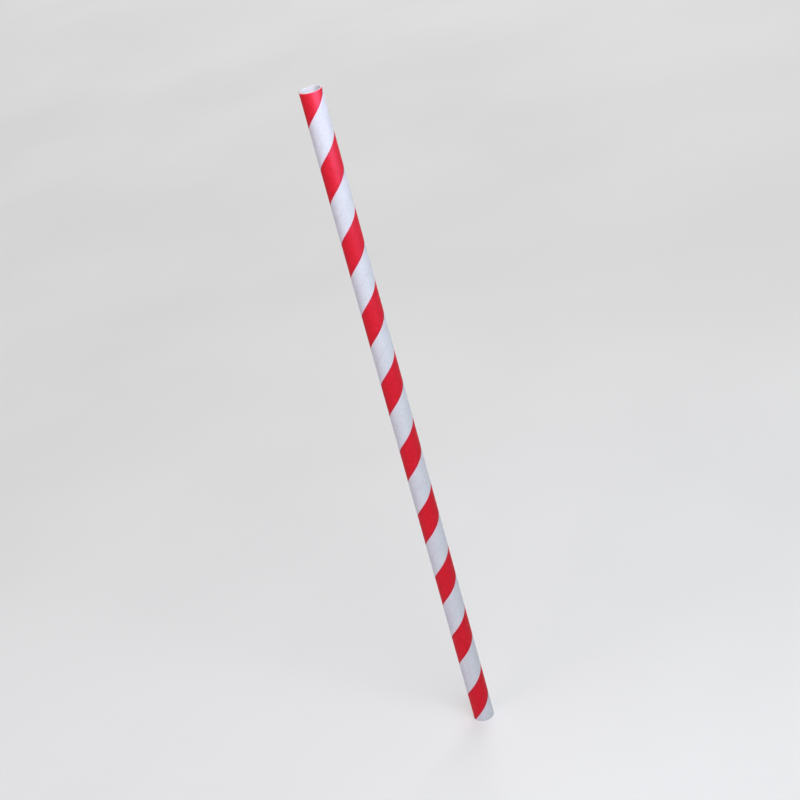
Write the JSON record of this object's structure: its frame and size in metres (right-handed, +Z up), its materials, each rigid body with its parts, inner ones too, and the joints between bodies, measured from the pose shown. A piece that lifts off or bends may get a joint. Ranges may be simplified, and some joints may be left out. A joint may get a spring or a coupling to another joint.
{
  "type": "paper drinking straw",
  "caption": "Straight paper drinking straw, a thin spirally wound tube open at both ends, white with a printed red spiral stripe.",
  "frame": {"origin": "the middle of the cut end that the straw stands on", "axes": "+Z up, along the straw towards its mouth, the end that the picture shows; -Y faces the picture's viewer and +X is the picture's right"},
  "size_m": [0.006, 0.006, 0.197],
  "materials": {
    "printed_paper": "matte uncoated paper, white with a red stripe printed along the winding"
  },
  "bodies": {
    "root": {"paper_straw": "printed_paper"}
  },
  "joints": []
}
